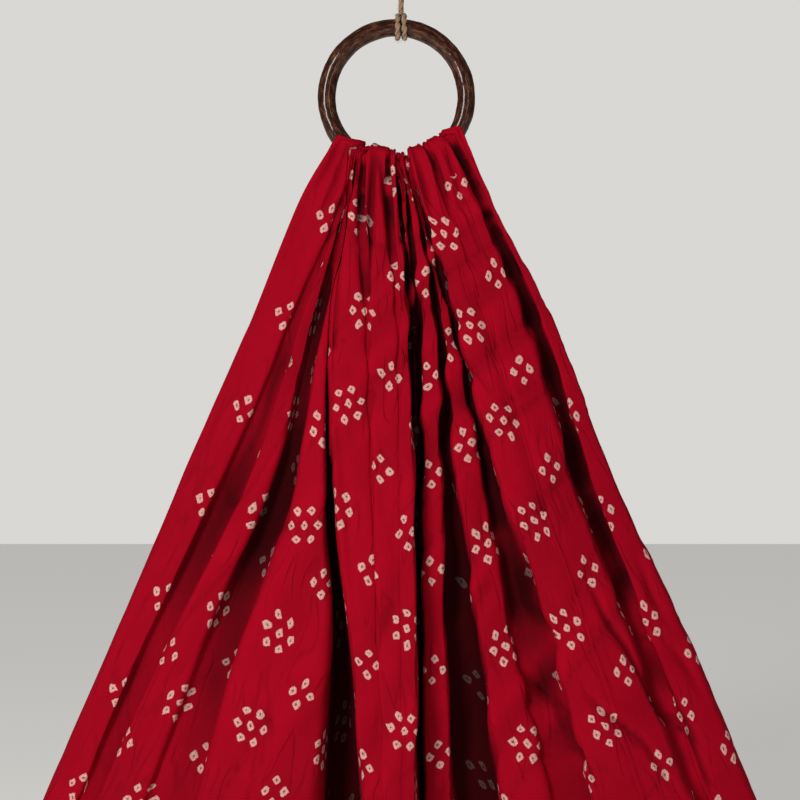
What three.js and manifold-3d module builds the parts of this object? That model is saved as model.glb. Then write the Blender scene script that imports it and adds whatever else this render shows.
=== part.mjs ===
// A bandhani cloth threaded through a bent-twig ring and hanging from it in folds, front and back.
// Millimetres, +Z up. The front looks towards -Y and +X is to its right. The origin is the inside top
// of the twine eye that the ring hangs by.
import * as THREE from "three";
import { mergeVertices } from "three/addons/utils/BufferGeometryUtils.js";
import Module from "manifold-3d";

// The ring: a five-inch hoop of twig
const RING_CENTRE = new THREE.Vector3(-2.8, 0, -138);
const RING_RADIUS = 55.8; // to the middle of the rod
const ROD_RADIUS = 7;

// The twine and the eye at its top
const TWINE_RADIUS = 2.2;
const TWINE_X = 0.8;
const EYE_INSIDE = 5;
const KNOT = { x: 5, y: 5.6, z: 6 }; // half sizes of the knot under the eye
const KNOT_Z = -17;
const WRAP_CLEARANCE = 0.5; // from the rod to the two turns of twine round it
const WRAP_X = [-1.8, 3.4];

// The cloth
const CLOTH_THICKNESS = 1.2;
const SEAT_GAP = 0.5; // from the rod to the cloth's inner face, over the facets of both
const HEM_RADIUS = 652; // the front hem is an arc about the ring's middle
const BACK_SHORTER = 14; // the back hem hangs this much higher
const SELVEDGE_TUCK = [3, 5, 8, 12, 16, 20]; // how far the side edges turn in, from the ring to the hem
const SELVEDGE_OUT = 8;
const CORNER = 0.25; // share of a fold's width that its rounded shoulder takes, each side
const BOW = 0.04; // how far a fold's face bows out, as a share of its width

// The places in the fold table are charted on the ring's plane, as they line up from a point this far in
// front of it and at this height. A fold that stands out from the plane is drawn in towards that line.
const CHART_DISTANCE = 1511;
const CHART_HEIGHT = -380;

// Heights at which the fold table gives its places below the ring
const CHART_Z = [-220, -316, -444, -572, -700];
// How far each fold stands out is given at the first and third of them, and at the hem
const OUT_Z = [-220, -444, -790];

// One row a fold, from the left edge to the right edge of the front fall.
// left, right: the fold's edges on the ring and at the charted heights.
// lift: how far it stands off the rod at the ring. out: how far in front of the ring's plane it stands.
// bed: the same for the valley on its right. tilt: above 0 its left shoulder lies lower, below 0 its right.
const FOLDS = [
  {
    name: "left edge",
    left: [-49, -80, -120, -176, -230, -285],
    right: [-40, -47, -90, -146, -204, -258],
    lift: 3, out: [12, 24, 38], bed: [9.3, 9, 9], tilt: 0.35,
  },
  {
    name: "left second",
    left: [-39, -45.5, -82, -134, -190, -244],
    right: [-37, -44, -70, -104, -156, -204],
    lift: 0.4, out: [9.8, 30, 52], bed: [9.3, 17, 34], tilt: -0.25,
  },
  {
    name: "left broad",
    left: [-36, -42.5, -64, -88, -128, -164],
    right: [-34.5, -40, -53, -58, -52, -62],
    lift: 0.8, out: [12, 38, 68], bed: [10, 9, 9], tilt: 0.12,
  },
  {
    name: "middle, left pleat",
    left: [-33, -38.5, -50.5, -45, -37, -30.5],
    right: [-31, -33, -28, -24, -19, -16],
    lift: 2.4, out: [14, 45, 82], bed: [11, 44, 83], tilt: 0,
  },
  {
    name: "middle, broad pleat",
    left: [-29, -29.5, -25, -21, -17, -13.5],
    right: [-10.5, -11, -3, -1.5, 0, 1.5],
    lift: 6, out: [17, 49, 87], bed: [11, 46, 84], tilt: 0,
  },
  {
    name: "middle, right pleat",
    left: [-8.5, -7, 0, 1.5, 3.5, 4.5],
    right: [-4.5, -1, 6.5, 10.5, 13, 13],
    lift: 5, out: [16, 47, 84], bed: [9.5, 9, 9], tilt: 0,
  },
  {
    name: "sunk pleat",
    left: [-2.5, 1.5, 9, 13, 15, 16],
    right: [-0.5, 4, 12, 16, 18.5, 19],
    lift: 3, out: [13, 13, 13], bed: [9.3, 9, 9], tilt: 0,
  },
  {
    name: "right of the middle",
    left: [1.5, 6.5, 16, 19, 21.5, 22.5],
    right: [3.5, 10.5, 29, 33.5, 37, 44],
    lift: 3, out: [14, 28, 44], bed: [8.8, 9, 9], tilt: 0,
  },
  {
    name: "right inner",
    left: [5, 13, 33, 45, 63, 80],
    right: [6.5, 14.5, 41, 67, 91, 121.5],
    lift: 0.4, out: [9.3, 30, 52], bed: [8.8, 13, 28], tilt: -0.25,
  },
  {
    name: "right broad, inner half",
    left: [8.5, 17, 44, 78.5, 120, 152],
    right: [23, 36, 68, 108, 150, 192],
    lift: 6, out: [17, 46, 74], bed: [13, 43, 72], tilt: 0,
  },
  {
    name: "right broad, outer half",
    left: [25.5, 38.5, 70.5, 111, 154.5, 197],
    right: [40.5, 62.5, 98.5, 137.5, 185.5, 233.5],
    lift: 5, out: [16, 42, 62], bed: [9.3, 22, 50], tilt: -0.08,
  },
  {
    name: "right edge",
    left: [43, 65, 105.5, 144, 193.5, 241.5],
    right: [47.5, 73.5, 122.5, 172, 232, 285.5],
    lift: 2, out: [12, 24, 34], bed: [8, 8, 8], tilt: -0.3,
  },
];

const blend = (a, b, share) => a + (b - a) * share;
const blendAll = (a, b, share) => a.map((value, i) => blend(value, b[i], share));

// A rib is one line of the cloth from the ring to the hem: its places across, its lift and its depths.
const rib = (across, lift, out) => ({ across, lift, out });

function ribBetween(a, b) {
  return rib(
    blendAll(a.across, b.across, 0.5),
    blend(a.lift, b.lift, 0.5),
    blendAll(a.out, b.out, 0.5),
  );
}

// The corners of the cloth's section run up one side of each fold, across its face and down into the
// next valley. The cloth's own ribs lie midway between neighbouring corners, so the folds come out round.
function clothRibs() {
  const shelf = [SELVEDGE_OUT, SELVEDGE_OUT, SELVEDGE_OUT];
  const first = FOLDS[0];
  const last = FOLDS[FOLDS.length - 1];
  const tucked = (edge, way) => edge.map((x, i) => x + way * SELVEDGE_TUCK[i]);
  const corners = [rib(tucked(first.left, 1), 0, shelf)];
  let bed = shelf;
  for (const { left, right, lift, out, bed: next, tilt } of FOLDS) {
    const outLeft = blendAll(out, bed, Math.max(0, tilt));
    const outRight = blendAll(out, next, Math.max(0, -tilt));
    const bow = BOW * (right[4] - left[4]);
    const bowed = (depths) => depths.map((depth, i) => depth + (bow * i) / 2);
    corners.push(
      rib(left, 0, bed),
      rib(left, lift, outLeft),
      rib(blendAll(left, right, CORNER), lift, bowed(blendAll(outLeft, outRight, CORNER))),
      rib(blendAll(right, left, CORNER), lift, bowed(blendAll(outRight, outLeft, CORNER))),
      rib(right, lift, outRight),
      rib(right, 0, next),
    );
    bed = next;
  }
  corners.push(rib(tucked(last.right, -1), 0, shelf));
  return corners.slice(1).map((corner, i) => ribBetween(corners[i], corner));
}

// Where a rib lies on the rod: round the ring from its lowest point, and off the rod's own middle
const ribAngle = ({ across }) => Math.asin((across[0] - RING_CENTRE.x) / RING_RADIUS);
const ribReach = ({ lift }) => ROD_RADIUS + SEAT_GAP + CLOTH_THICKNESS / 2 + lift;

// A point of the rib on the rod. turn is 0 at the rod's front, 90 degrees inside the ring, 180 at the back.
function onRod(line, turn) {
  const radius = RING_RADIUS - ribReach(line) * Math.sin(turn);
  return new THREE.Vector3(
    RING_CENTRE.x + radius * Math.sin(ribAngle(line)),
    -ribReach(line) * Math.cos(turn),
    RING_CENTRE.z - radius * Math.cos(ribAngle(line)),
  );
}

// How far a rib stands out at a height, from its three charted depths
function depthAt(out, z) {
  const upper = z > OUT_Z[1] ? 0 : 1;
  const share = (z - OUT_Z[upper]) / (OUT_Z[upper + 1] - OUT_Z[upper]);
  return blend(out[upper], out[upper + 1], Math.min(1, share));
}

// Runs a rib's last stretch on to the hem, which is an arc about the ring's middle
function hemPlace(from, to, radius) {
  const away = to.clone().sub(from).normalize();
  const reach = to.clone().sub(RING_CENTRE);
  const along = reach.dot(away);
  return to.clone().addScaledVector(
    away,
    -along + Math.sqrt(along * along - reach.lengthSq() + radius * radius),
  );
}

function flatPlaces(line, hemRadius) {
  const places = CHART_Z.map((z, i) => new THREE.Vector3(line.across[i + 1], 0, z));
  places.push(hemPlace(places[3], places[4], hemRadius));
  return places;
}

// The front half of a rib, from the rod down to the hem
function frontCurve(line) {
  const places = flatPlaces(line, HEM_RADIUS).map((place) => {
    const depth = depthAt(line.out, place.z);
    const drawn = 1 - depth / CHART_DISTANCE;
    return new THREE.Vector3(
      place.x * drawn,
      -depth,
      CHART_HEIGHT + (place.z - CHART_HEIGHT) * drawn,
    );
  });
  return new THREE.CatmullRomCurve3([onRod(line, 0), ...places]);
}

// The back half mirrors the front, with each stretch of it swayed sideways and let in or out a little
function backCurve(line, share) {
  const places = flatPlaces(line, HEM_RADIUS - BACK_SHORTER).map((place, i) => {
    const growth = i / CHART_Z.length;
    const sway = 5 * growth * Math.sin(share * 23 + 1);
    const fullness = 0.86 + 0.12 * Math.sin(share * 31 + growth * 2);
    const depth = depthAt(line.out, place.z);
    return new THREE.Vector3(
      place.x + sway,
      SELVEDGE_OUT + (depth - SELVEDGE_OUT) * blend(1, fullness, growth),
      place.z,
    );
  });
  return new THREE.CatmullRomCurve3([onRod(line, Math.PI), ...places]);
}

// Closes a grid of points, rows of columns, into a sheet of even thickness
function sheetGeometry(grid, thickness) {
  const rows = grid.length;
  const columns = grid[0].length;
  const positions = [];
  const push = (point) => positions.push(point.x, point.y, point.z);
  const at = (r, c) =>
    grid[Math.min(rows - 1, Math.max(0, r))][Math.min(columns - 1, Math.max(0, c))];
  for (const side of [1, -1])
    for (let r = 0; r < rows; r++)
      for (let c = 0; c < columns; c++) {
        const across = at(r, c + 1).clone().sub(at(r, c - 1));
        const down = at(r + 1, c).clone().sub(at(r - 1, c));
        const normal = across.cross(down).normalize();
        push(at(r, c).clone().addScaledVector(normal, (side * thickness) / 2));
      }
  const index = [];
  const quad = (a, b, c, d) => index.push(a, b, c, a, c, d);
  const under = rows * columns;
  for (let r = 0; r + 1 < rows; r++)
    for (let c = 0; c + 1 < columns; c++) {
      const corner = r * columns + c;
      const below = corner + columns;
      quad(corner, corner + 1, below + 1, below);
      quad(under + corner, under + below, under + below + 1, under + corner + 1);
    }
  for (let c = 0; c + 1 < columns; c++) {
    const last = (rows - 1) * columns + c;
    quad(c, under + c, under + c + 1, c + 1);
    quad(last, last + 1, under + last + 1, under + last);
  }
  for (let r = 0; r + 1 < rows; r++) {
    const start = r * columns;
    const end = start + columns - 1;
    quad(start, start + columns, under + start + columns, under + start);
    quad(end, under + end, under + end + columns, end + columns);
  }
  const geometry = new THREE.BufferGeometry();
  geometry.setAttribute("position", new THREE.Float32BufferAttribute(positions, 3));
  geometry.setIndex(index);
  return geometry;
}

// The cloth is one sheet: up the front fall, over the ring's rod and down the back fall
function clothGeometry() {
  const FRONT_ROWS = 12;
  const WRAP_ROWS = 5;
  const BACK_ROWS = 10;
  const ribs = clothRibs();
  const columns = ribs.map((line, i) => {
    const front = frontCurve(line).getPoints(FRONT_ROWS).reverse();
    const wrap = Array.from({ length: WRAP_ROWS }, (_, k) =>
      onRod(line, (Math.PI * (k + 1)) / (WRAP_ROWS + 1)),
    );
    const back = backCurve(line, i / (ribs.length - 1)).getPoints(BACK_ROWS);
    return [...front, ...wrap, ...back];
  });
  const grid = columns[0].map((_, r) => columns.map((column) => column[r]));
  return sheetGeometry(grid, CLOTH_THICKNESS);
}

// A closed hoop of round section about the Y axis
function hoopGeometry(radius, section, sides, steps) {
  const profile = Array.from({ length: sides + 1 }, (_, i) => {
    const turn = (2 * Math.PI * (i % sides)) / sides;
    return new THREE.Vector2(radius + section * Math.cos(turn), section * Math.sin(turn));
  });
  return new THREE.LatheGeometry(profile, steps);
}

const wasm = await Module();
wasm.setup();

function solidOf(geometry) {
  const bare = geometry.clone();
  bare.deleteAttribute("normal");
  bare.deleteAttribute("uv");
  const merged = mergeVertices(bare, 1e-4);
  return new wasm.Manifold(
    new wasm.Mesh({
      numProp: 3,
      vertProperties: merged.attributes.position.array,
      triVerts: new Uint32Array(merged.index.array),
    }),
  );
}

function joined(...geometries) {
  const { vertProperties, triVerts } = geometries
    .map(solidOf)
    .reduce((whole, piece) => whole.add(piece))
    .getMesh();
  const geometry = new THREE.BufferGeometry();
  geometry.setAttribute("position", new THREE.BufferAttribute(vertProperties, 3));
  geometry.setIndex(new THREE.BufferAttribute(triVerts, 1));
  return geometry;
}

// The hitch: two turns of twine side by side round the rod, joined by the bight across their back
function hitchGeometry() {
  const rodTop = RING_CENTRE.z + RING_RADIUS;
  const turnRadius = ROD_RADIUS + WRAP_CLEARANCE + TWINE_RADIUS;
  const turns = WRAP_X.map((x) =>
    hoopGeometry(turnRadius, TWINE_RADIUS, 8, 20).rotateZ(Math.PI / 2).translate(x, 0, rodTop),
  );
  const bight = new THREE.CapsuleGeometry(TWINE_RADIUS, WRAP_X[1] - WRAP_X[0], 4, 8)
    .rotateZ(Math.PI / 2)
    .translate((WRAP_X[0] + WRAP_X[1]) / 2, turnRadius + TWINE_RADIUS * 0.8, rodTop + 3);
  return joined(...turns, bight);
}

// The two legs of twine that rise from the hitch to the knot, one in front of the other
function legGeometry(y) {
  const bottom = RING_CENTRE.z + RING_RADIUS + ROD_RADIUS + WRAP_CLEARANCE + 2 * TWINE_RADIUS + 0.3;
  const top = KNOT_Z - KNOT.z - 0.3;
  const route = new THREE.CatmullRomCurve3([
    new THREE.Vector3(TWINE_X, y, bottom),
    new THREE.Vector3(TWINE_X + 0.3, y, blend(bottom, top, 0.35)),
    new THREE.Vector3(TWINE_X, y, blend(bottom, top, 0.7)),
    new THREE.Vector3(0, y, top),
  ]);
  const section = new THREE.Shape().absarc(0, 0, TWINE_RADIUS, 0, 2 * Math.PI);
  return new THREE.ExtrudeGeometry(section, { steps: 10, curveSegments: 4, extrudePath: route });
}

function eyeGeometry() {
  const eye = hoopGeometry(EYE_INSIDE + TWINE_RADIUS, TWINE_RADIUS, 8, 24).translate(0, 0, -EYE_INSIDE);
  const knot = new THREE.SphereGeometry(1, 14, 10)
    .scale(KNOT.x, KNOT.y, KNOT.z)
    .translate(0, 0, KNOT_Z);
  return joined(eye, knot);
}

const clothMaterial = new THREE.MeshStandardMaterial({
  color: "#a00a20", roughness: 0.85, metalness: 0, side: THREE.DoubleSide,
});
const twigMaterial = new THREE.MeshStandardMaterial({ color: "#4a2a1c", roughness: 0.3, metalness: 0 });
const twineMaterial = new THREE.MeshStandardMaterial({ color: "#a68560", roughness: 0.95, metalness: 0 });

const part = new THREE.Group();

function add(name, geometry, material) {
  const mesh = new THREE.Mesh(geometry, material);
  mesh.name = name;
  part.add(mesh);
  return mesh;
}

add("cloth", clothGeometry(), clothMaterial);
add("ring", hoopGeometry(RING_RADIUS, ROD_RADIUS, 16, 56), twigMaterial).position.copy(RING_CENTRE);
add("twine_hitch", hitchGeometry(), twineMaterial);
add("twine_leg_front", legGeometry(-TWINE_RADIUS - 0.2), twineMaterial);
add("twine_leg_back", legGeometry(TWINE_RADIUS + 0.2), twineMaterial);
add("hang_eye", eyeGeometry(), twineMaterial);

export default part;
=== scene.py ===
# %% [markdown]
# # A bandhani cloth hung through a twig ring
# The real object is a length of crimson cotton, tie-dyed with small pale dots, pulled through a varnished
# twig ring so that it hangs in two falls. The ring hangs on jute twine. This file dresses the plain CAD
# model with what the eye sees: the crinkled cloth and its dots, the glossy bark and the hairy twine.
# Everything is in metres, in the CAD's own frame: +Z up, the front towards -Y.

# %% Load the frame
import math
import bpy
import numpy as np
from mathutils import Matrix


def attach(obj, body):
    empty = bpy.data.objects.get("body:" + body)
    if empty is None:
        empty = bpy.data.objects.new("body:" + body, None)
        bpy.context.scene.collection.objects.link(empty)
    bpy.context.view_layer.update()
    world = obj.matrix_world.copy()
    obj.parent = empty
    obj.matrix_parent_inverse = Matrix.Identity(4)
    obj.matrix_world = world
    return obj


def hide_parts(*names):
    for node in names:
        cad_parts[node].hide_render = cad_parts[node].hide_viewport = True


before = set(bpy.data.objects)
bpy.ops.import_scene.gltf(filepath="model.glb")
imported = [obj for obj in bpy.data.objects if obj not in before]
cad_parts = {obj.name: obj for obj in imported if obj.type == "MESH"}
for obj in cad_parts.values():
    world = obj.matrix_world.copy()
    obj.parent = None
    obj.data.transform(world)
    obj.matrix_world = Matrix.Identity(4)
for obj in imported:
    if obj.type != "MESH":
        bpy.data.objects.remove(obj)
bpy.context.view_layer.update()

MM = 0.001

# %% [markdown]
# ## The camera
# A camera is placed before anything else, so each piece can be judged in the view that matters. The
# photograph is 0.8 mm a pixel at the ring's plane and looks straight at the cloth, a little over its
# middle. A long lens from 1.5 m keeps the folds from bulging.

# %% Camera
IMAGE_SIZE = 800
MM_PER_PIXEL = 0.8
EYE_DISTANCE = 1511
EYE_HEIGHT = -380

camera_data = bpy.data.cameras.new("view")
camera_data.lens = 85
camera_data.sensor_width = 36
camera = bpy.data.objects.new("view", camera_data)
camera.location = (0, -EYE_DISTANCE * MM, EYE_HEIGHT * MM)
camera.rotation_euler = (math.pi / 2, 0, 0)
bpy.context.scene.collection.objects.link(camera)
bpy.context.scene.camera = camera


def in_picture(points):
    """Where points (in mm) fall in the 800 by 800 picture, in pixels."""
    nearer = EYE_DISTANCE / (EYE_DISTANCE + points[..., 1])
    across = points[..., 0] * nearer / MM_PER_PIXEL + IMAGE_SIZE / 2
    down = (EYE_HEIGHT - points[..., 2]) * nearer / MM_PER_PIXEL + IMAGE_SIZE / 2
    return np.stack([across, down], axis=-1)


print("camera", EYE_DISTANCE, "mm in front of the ring, at", EYE_HEIGHT, "mm")

# %% [markdown]
# ## Small helpers
# A mesh needs its points, its faces and a UV map, which is the piece's own flat coordinate for patterns.
# Noise is needed both for shapes and for the way things wander. A lattice of random heights, read
# with a smooth curve between them, gives the same noise on every run because its seed is fixed.

# %% Mesh and noise helpers
def deselect():
    bpy.ops.object.select_all(action="DESELECT")


def make_mesh(name, points, faces, uvs=None):
    """Makes an object at the origin from points in mm. uvs holds one pair for each point."""
    mesh = bpy.data.meshes.new(name)
    mesh.from_pydata((np.asarray(points) * MM).tolist(), [], [list(map(int, face)) for face in faces])
    if uvs is not None:
        layer = mesh.uv_layers.new(name="UVMap")
        corners = np.empty(len(mesh.loops), dtype=np.int32)
        mesh.loops.foreach_get("vertex_index", corners)
        layer.data.foreach_set("uv", np.asarray(uvs)[corners].astype(np.float32).ravel())
    mesh.polygons.foreach_set("use_smooth", [True] * len(mesh.polygons))
    piece = bpy.data.objects.new(name, mesh)
    bpy.context.scene.collection.objects.link(piece)
    return piece


def smooth(share):
    share = np.clip(share, 0, 1)
    return share * share * (3 - 2 * share)


LATTICE = 256  # heights each way before the noise repeats


def noise(u, v, seed):
    """Smooth noise from -1 to 1 over a plane, one bump about every unit."""
    heights = np.random.default_rng(seed).uniform(-1, 1, (LATTICE, LATTICE))
    u0, v0 = np.floor(u).astype(int), np.floor(v).astype(int)
    fu, fv = smooth(u - u0), smooth(v - v0)

    def at(i, j):
        return heights[(u0 + i) % LATTICE, (v0 + j) % LATTICE]

    low = at(0, 0) * (1 - fu) + at(1, 0) * fu
    high = at(0, 1) * (1 - fu) + at(1, 1) * fu
    return low * (1 - fv) + high * fv


print("helpers ready")

# %% [markdown]
# ## The twine's two legs
# Jute twine is two plies laid round each other, so its outline waves and a groove winds along it. A
# round tube can't show that. Here the section is the outline of two touching plies, and it turns as it is
# swept along the route. The two legs are cords, held taut between the hitch and the knot, so they are
# made first: how far a cord reaches decides the size of the whole.

# %% Even points along a route
def along_route(route, spacing, closed=False):
    """Points at an even spacing on a smooth curve through the route's points, all in mm."""
    route = np.asarray(route, dtype=float)
    before = np.vstack([route[-1] if closed else 2 * route[0] - route[1], route])
    ends = [route[0], route[1]] if closed else [2 * route[-1] - route[-2]]
    points = np.vstack([before, ends])
    fine = []
    for i in range(1, len(points) - 2):
        share = np.linspace(0, 1, 40, endpoint=False)[:, None]
        a, b, c, d = points[i - 1 : i + 3]
        fine.append(
            0.5 * (2 * b + (c - a) * share + (2 * a - 5 * b + 4 * c - d) * share**2
                   + (3 * b - a - 3 * c + d) * share**3)
        )
    fine = np.vstack(fine + [points[-2:-1]])
    reach = np.concatenate([[0], np.cumsum(np.linalg.norm(np.diff(fine, axis=0), axis=1))])
    places = np.linspace(0, reach[-1], max(3, int(round(reach[-1] / spacing)) + 1))
    even = np.stack([np.interp(places, reach, fine[:, k]) for k in range(3)], axis=1)
    return (even[:-1] if closed else even), reach[-1]


# %% Sweep a two-ply section along a route
TWINE_RADIUS = 2.2
PLY_RADIUS = 1.28
PLY_OFFSET = 0.92
LAY_LENGTH = 13  # one full turn of the plies
SECTION_SIDES = 24
UNEVEN = 0.05  # hand-spun twine swells and thins by this share
UV_LENGTH = 4  # mm of twine to one unit of its UV map
UV_ROUND = 2.2  # units of the UV map once round the section


def twine_mesh(name, route, closed=False, start_turn=0.0, scale=1.0, spacing=0.8):
    """A two-ply twine of 4.4 mm along a route of points in mm."""
    path, length = along_route(route, spacing, closed)
    count = len(path)
    ahead = np.roll(path, -1, axis=0) - np.roll(path, 1, axis=0)
    if not closed:
        ahead[0], ahead[-1] = path[1] - path[0], path[-1] - path[-2]
    ahead /= np.linalg.norm(ahead, axis=1)[:, None]
    side = np.cross(ahead[0], (0.31, 0.9, 0.29))
    sides = []
    for direction in ahead:
        side = side - direction * side.dot(direction)
        side = side / np.linalg.norm(side)
        sides.append(side)
    sides = np.array(sides)
    ups = np.cross(ahead, sides)
    turns = length / LAY_LENGTH
    slip = 0.0
    if closed:
        turns = round(turns * 2) / 2
        last = sides[-1] - ahead[0] * sides[-1].dot(ahead[0])
        slip = math.atan2(last.dot(ups[0]), last.dot(sides[0]))
    around = np.linspace(0, 2 * math.pi, SECTION_SIDES, endpoint=False)
    reach = PLY_OFFSET * np.abs(np.cos(around)) + np.sqrt(
        PLY_RADIUS**2 - (PLY_OFFSET * np.sin(around)) ** 2
    )
    points, uvs = [], []
    for k in range(count):
        share = k / (count if closed else count - 1)
        turn = start_turn + 2 * math.pi * turns * share - slip * share
        swell = scale * (1 + UNEVEN * math.sin(share * 37 + start_turn))
        angle = around + turn
        ring = (np.cos(angle)[:, None] * sides[k] + np.sin(angle)[:, None] * ups[k])
        points.append(path[k] + ring * (reach * swell)[:, None])
        along = np.full(SECTION_SIDES, share * length / UV_LENGTH)
        uvs.append(np.stack([along, around * UV_ROUND / (2 * math.pi)], 1))
    points, uvs = np.vstack(points), np.vstack(uvs)
    faces = []
    for k in range(count if closed else count - 1):
        here, there = k * SECTION_SIDES, ((k + 1) % count) * SECTION_SIDES
        for i in range(SECTION_SIDES):
            j = (i + 1) % SECTION_SIDES
            faces.append((here + i, here + j, there + j, there + i))
    if not closed:
        faces.append(tuple(range(SECTION_SIDES))[::-1])
        faces.append(tuple((count - 1) * SECTION_SIDES + i for i in range(SECTION_SIDES)))
    piece = make_mesh(name, points, faces, uvs)
    return piece, path, length


# %% The two legs, repeated from the CAD's route
LEG_BOTTOM = -70.0
LEG_TOP = -23.3
LEG_Y = 2.4
TWINE_X = 0.8
legs, leg_paths = [], []
for label, y, turn in (("front", -LEG_Y, 0.4), ("back", LEG_Y, 1.9)):
    route = [
        (TWINE_X, y, LEG_BOTTOM),
        (TWINE_X + 0.3, y, LEG_BOTTOM + 0.35 * (LEG_TOP - LEG_BOTTOM)),
        (TWINE_X, y, LEG_BOTTOM + 0.7 * (LEG_TOP - LEG_BOTTOM)),
        (0, y, LEG_TOP),
    ]
    leg, path, length = twine_mesh("twine_leg_" + label + "_laid", route, start_turn=turn)
    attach(leg, "root")
    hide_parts("twine_leg_" + label)
    legs.append(leg)
    leg_paths.append((path * MM, length * MM))
    print(leg.name, "length", round(length, 1), "mm")

# %% [markdown]
# ## The hitch, the knot and the eye
# The twine holds the ring with a lark's head: two turns side by side over the rod and a bight across
# their back, under which both legs leave. The knot and the eye are above the picture, and two short tails
# carry the legs into the knot. Each is swept with the same two-ply section, so the twine reads as one
# length.

# %% Join pieces made apart into one
def join(name, pieces):
    deselect()
    for piece in pieces:
        piece.select_set(True)
    bpy.context.view_layer.objects.active = pieces[0]
    bpy.ops.object.join()
    pieces[0].name = name
    pieces[0].data.name = name
    deselect()
    return pieces[0]


# %% The hitch round the ring's rod
RING_CENTRE = np.array([-2.8, 0.0, -138.0])
RING_RADIUS = 55.8
ROD_RADIUS = 7.0
ROD_TOP = RING_CENTRE[2] + RING_RADIUS
TWINE_GAP = 0.4
TURN_REACH = ROD_RADIUS + TWINE_GAP + TWINE_RADIUS
FLATTER = (0.93, 0.06)  # a pulled turn is less high than wide, the most so below the rod
WRAP_X = (-1.8, 3.4)

parts = []
for x, lean, turn in ((WRAP_X[0], 0.25, 0.3), (WRAP_X[1], -0.2, 1.2)):
    route = []
    for a in np.linspace(0, 2 * math.pi, 14, endpoint=False):
        rise = TURN_REACH * (FLATTER[0] + FLATTER[1] * math.cos(a)) * math.cos(a)
        route.append((x + lean * math.cos(a), TURN_REACH * math.sin(a), ROD_TOP + rise))
    parts.append(twine_mesh("turn", route, closed=True, start_turn=turn, spacing=0.7)[0])
bight = [(WRAP_X[0] - 1.2, 8.2, -76.2), (WRAP_X[0] - 0.4, 11.6, -78.0), (0.8, 13.2, -79.2),
         (WRAP_X[1] + 0.4, 11.6, -78.0), (WRAP_X[1] + 1.2, 8.2, -76.2)]
parts.append(twine_mesh("bight", bight, start_turn=0.8, spacing=0.7)[0])
for y, x in ((-LEG_Y, -0.2), (LEG_Y, 1.8)):
    tail = [(TWINE_X, y, LEG_BOTTOM + 0.6), (TWINE_X, y + 0.8, LEG_BOTTOM - 0.8),
            (0.5 * (TWINE_X + x), 7.2, -72.6), (x, 10.4, -77.6), (x, 10.6, -82.6)]
    parts.append(twine_mesh("tail", tail, start_turn=0.4, scale=0.94, spacing=0.7)[0])
hitch = join("twine_hitch_laid", parts)

# %% The knot and the eye above it
EYE_INSIDE = 5.0
EYE_REACH = EYE_INSIDE + TWINE_RADIUS
parts = []
angles = np.linspace(-math.pi * 0.46, math.pi * 1.46, 18)
route = [(EYE_REACH * math.cos(a), 0.7 * math.sin(2 * a), EYE_REACH * math.sin(a) - EYE_INSIDE)
         for a in angles]
parts.append(twine_mesh("eye", route, start_turn=0.5)[0])
turns = np.linspace(0, 2 * math.pi, 30, endpoint=False)
knot = [((math.sin(t) + 2 * math.sin(2 * t)) * 1.05, (math.cos(t) - 2 * math.cos(2 * t)) * 1.15,
         -17.2 - math.sin(3 * t) * 2.9) for t in turns]
parts.append(twine_mesh("knot", knot, closed=True, scale=0.95)[0])
for y in (-LEG_Y, LEG_Y):
    into_knot = [(0, y, LEG_TOP - 0.6), (0, y, LEG_TOP + 1.6),
                 (0, 0.7 * y, LEG_TOP + 4), (0, 0.4 * y, LEG_TOP + 6)]
    parts.append(twine_mesh("tail", into_knot, start_turn=0.4, scale=0.96, spacing=0.7)[0])
eye = join("twine_eye_tied", parts)
for piece, solid in ((hitch, "twine_hitch"), (eye, "hang_eye")):
    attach(piece, "root")
    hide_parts(solid)
    print(piece.name, len(piece.data.polygons), "faces")

# %% [markdown]
# ## Loose fibres
# Jute is hairy. A few hundred short fibres that stand off the twine soften its outline, which
# is what tells the eye that it is rope and not wire. Each is a thin three-sided spike.

# %% Fuzz on the twine
HAIRS = 340
HAIR_LENGTH = (1.2, 3.1)
HAIR_THICKNESS = ((0, 0.12), (0.5, 0.09))  # radius at the root and halfway, before the tip


def fuzz(name, centres, count, seed):
    dice = np.random.default_rng(seed)
    points, faces = [], []
    for _ in range(count):
        centre, ahead = centres[dice.integers(len(centres))]
        out = dice.normal(size=3)
        out -= ahead * out.dot(ahead)
        out /= np.linalg.norm(out)
        root = centre + out * TWINE_RADIUS * 0.8
        lean = ahead * dice.choice([-1, 1]) * dice.uniform(0.5, 2.2) + out
        lean /= np.linalg.norm(lean)
        length = dice.uniform(*HAIR_LENGTH)
        bend = np.cross(lean, out) * dice.uniform(-0.6, 0.6)
        side = np.cross(lean, (0.2, 0.5, 0.8))
        side /= np.linalg.norm(side)
        other = np.cross(lean, side)
        first = len(points)
        for step, thick in HAIR_THICKNESS:
            middle = root + lean * length * step + bend * step * step
            for k in range(3):
                angle = 2 * math.pi * k / 3
                points.append(middle + (side * math.cos(angle) + other * math.sin(angle)) * thick)
        points.append(root + lean * length + bend)
        for k in range(3):
            j = (k + 1) % 3
            faces.append((first + k, first + j, first + 3 + j, first + 3 + k))
            faces.append((first + 3 + k, first + 3 + j, first + 6))
        faces.append((first + 2, first + 1, first))
    uvs = np.tile([0.3, 0.2], (len(points), 1))
    return make_mesh(name, points, faces, uvs)


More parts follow.
